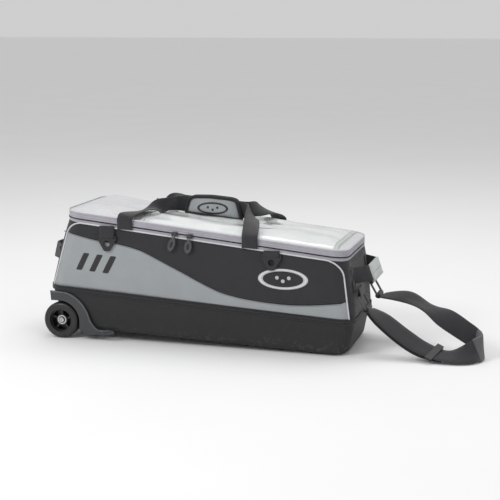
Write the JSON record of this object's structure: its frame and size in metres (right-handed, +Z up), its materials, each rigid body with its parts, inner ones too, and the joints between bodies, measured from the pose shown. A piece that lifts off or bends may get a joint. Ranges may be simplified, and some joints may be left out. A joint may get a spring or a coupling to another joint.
{
  "type": "rolling bowling bag",
  "caption": "Long rolling bowling bag with a moulded wheeled base, two-tone fabric sides, a zipped see-through cover, carry handles and a webbing pull strap.",
  "frame": {"origin": "on the floor, at the middle of the footprint with the pull strap laid out", "axes": "+X along the bag from its wheels towards the pull strap, -Y towards the side with the front panel, +Z up"},
  "size_m": [1.0621, 0.2857, 0.3455],
  "materials": {
    "black_fabric": "coated ballistic weave",
    "grey_fabric": "smooth coated fabric",
    "webbing": "ribbed polyester webbing",
    "light_webbing": "smooth woven sleeve",
    "grip_fabric": "padded sleeve",
    "tub": "moulded, fine grain",
    "housing": "moulded, satin",
    "board": "hollow board",
    "foam": "foam under lining",
    "trim": "bias binding",
    "light_piping": "vinyl piping",
    "zip_band": "woven zip tape",
    "clear_vinyl": "clear vinyl over white mesh",
    "cover_fabric": "translucent vinyl",
    "tyre": "urethane tread",
    "hub": "moulded nylon",
    "steel": "ground steel",
    "zinc": "zinc plated",
    "dark_metal": "dark coated zinc",
    "buckle": "acetal",
    "foot": "moulded",
    "badge": "moulded patch",
    "print": "screen print"
  },
  "bodies": {
    "bag": {"lower_tub": "tub", "base_board": "board", "ball_cushions": "foam", "divider_wheel_side": "foam", "divider_pull_side": "foam", "skid_feet": "foot", "wheel_housing_front": "housing", "wheel_housing_rear": "housing", "axle_bolts": "zinc", "axle_nuts": "zinc", "seam_binding": "trim", "front_panel_grey": "grey_fabric", "front_panel_black": "black_fabric", "rear_panel_grey": "grey_fabric", "rear_panel_black": "black_fabric", "wheel_end_panel": "black_fabric", "pull_end_panel": "black_fabric", "panel_piping": "light_piping", "side_badges": "badge", "side_stripes": "print", "lower_zip_tape": "zip_band", "cover_hinge_strip": "trim", "pull_end_grab": "webbing", "wheel_end_grab": "webbing", "grab_sleeve": "light_webbing", "clip_loops": "webbing", "ring_tabs": "webbing", "front_bearing_cores": "steel", "front_axle_spacers": "steel", "rear_bearing_cores": "steel", "rear_axle_spacers": "steel"},
    "front_wheel": {"front_tyre": "tyre", "front_hub": "hub", "front_bearing_shells": "steel"},
    "rear_wheel": {"rear_tyre": "tyre", "rear_hub": "hub", "rear_bearing_shells": "steel"},
    "cover": {"cover_skirt": "zip_band", "cover_piping": "light_piping", "cover_wheel_panel": "cover_fabric", "cover_window": "clear_vinyl", "cover_pull_panel": "cover_fabric"},
    "wheel_side_slider": {"zip_slider_wheel_side": "dark_metal"},
    "pull_side_slider": {"zip_slider_pull_side": "dark_metal"},
    "wheel_side_zip_pull": {"zip_pull_wheel_side": "dark_metal"},
    "pull_side_zip_pull": {"zip_pull_pull_side": "dark_metal"},
    "front_wheel_side_clip": {"clip_plate_front_wheel_side": "buckle"},
    "front_pull_side_clip": {"clip_plate_front_pull_side": "buckle"},
    "rear_wheel_side_clip": {"clip_plate_rear_wheel_side": "buckle"},
    "rear_pull_side_clip": {"clip_plate_rear_pull_side": "buckle"},
    "front_handle": {"front_handle_webbing": "webbing", "handle_wrap": "grey_fabric"},
    "rear_handle": {"rear_handle_webbing": "webbing"},
    "pull_strap_loop": {"pull_rings": "dark_metal", "pull_strap": "webbing", "strap_slide": "buckle", "strap_grip": "grip_fabric"}
  },
  "joints": [
    {"name": "front_wheel_spin", "type": "hinge", "parent": "bag", "child": "front_wheel", "pos_m": [-0.485, -0.12, 0.0445], "axis": [0, 1, 0], "continuous": true},
    {"name": "rear_wheel_spin", "type": "hinge", "parent": "bag", "child": "rear_wheel", "pos_m": [-0.485, 0.12, 0.0445], "axis": [0, 1, 0], "continuous": true},
    {"name": "cover_open", "type": "hinge", "parent": "bag", "child": "cover", "pos_m": [-0.12228, 0.1342, 0.26621], "axis": [-0.995, 0, 0.0995], "range_deg": [0, 105], "deforming": ["front_handle_webbing", "rear_handle_webbing", "handle_wrap"]},
    {"name": "wheel_side_slider_run", "type": "slide", "parent": "bag", "child": "wheel_side_slider", "axis": [-0.995, 0, 0.0995], "range_m": [0, 0.085]},
    {"name": "pull_side_slider_run", "type": "slide", "parent": "bag", "child": "pull_side_slider", "axis": [0.995, 0, -0.0995], "range_m": [0, 0.095]},
    {"name": "wheel_side_zip_pull_swing", "type": "hinge", "parent": "wheel_side_slider", "child": "wheel_side_zip_pull", "pos_m": [-0.188, -0.1415, 0.2725], "axis": [-1, 0, 0], "range_deg": [0, 150]},
    {"name": "pull_side_zip_pull_swing", "type": "hinge", "parent": "pull_side_slider", "child": "pull_side_zip_pull", "pos_m": [-0.151, -0.1415, 0.2688], "axis": [-1, 0, 0], "range_deg": [0, 150]},
    {"name": "front_wheel_side_clip_swing", "type": "hinge", "parent": "bag", "child": "front_wheel_side_clip", "pos_m": [-0.358, -0.1388, 0.2585], "axis": [-1, 0, 0], "range_deg": [0, 115]},
    {"name": "front_pull_side_clip_swing", "type": "hinge", "parent": "bag", "child": "front_pull_side_clip", "pos_m": [0.047, -0.1388, 0.233], "axis": [-1, 0, 0], "range_deg": [0, 115]},
    {"name": "rear_wheel_side_clip_swing", "type": "hinge", "parent": "bag", "child": "rear_wheel_side_clip", "pos_m": [-0.358, 0.1388, 0.2585], "axis": [1, 0, 0], "range_deg": [0, 115]},
    {"name": "rear_pull_side_clip_swing", "type": "hinge", "parent": "bag", "child": "rear_pull_side_clip", "pos_m": [0.047, 0.1388, 0.233], "axis": [1, 0, 0], "range_deg": [0, 115]},
    {"name": "front_handle_swing", "type": "hinge", "parent": "bag", "child": "front_handle", "pos_m": [-0.123, -0.138, 0.259], "axis": [0.995, 0, -0.0995], "range_deg": [0, 150]},
    {"name": "rear_handle_swing", "type": "hinge", "parent": "bag", "child": "rear_handle", "pos_m": [-0.123, 0.138, 0.259], "axis": [-0.995, 0, 0.0995], "range_deg": [0, 150]},
    {"name": "pull_strap_swing", "type": "hinge", "parent": "bag", "child": "pull_strap_loop", "pos_m": [0.2465, 0, 0.14], "axis": [0, -1, 0], "range_deg": [0, 90]}
  ]
}
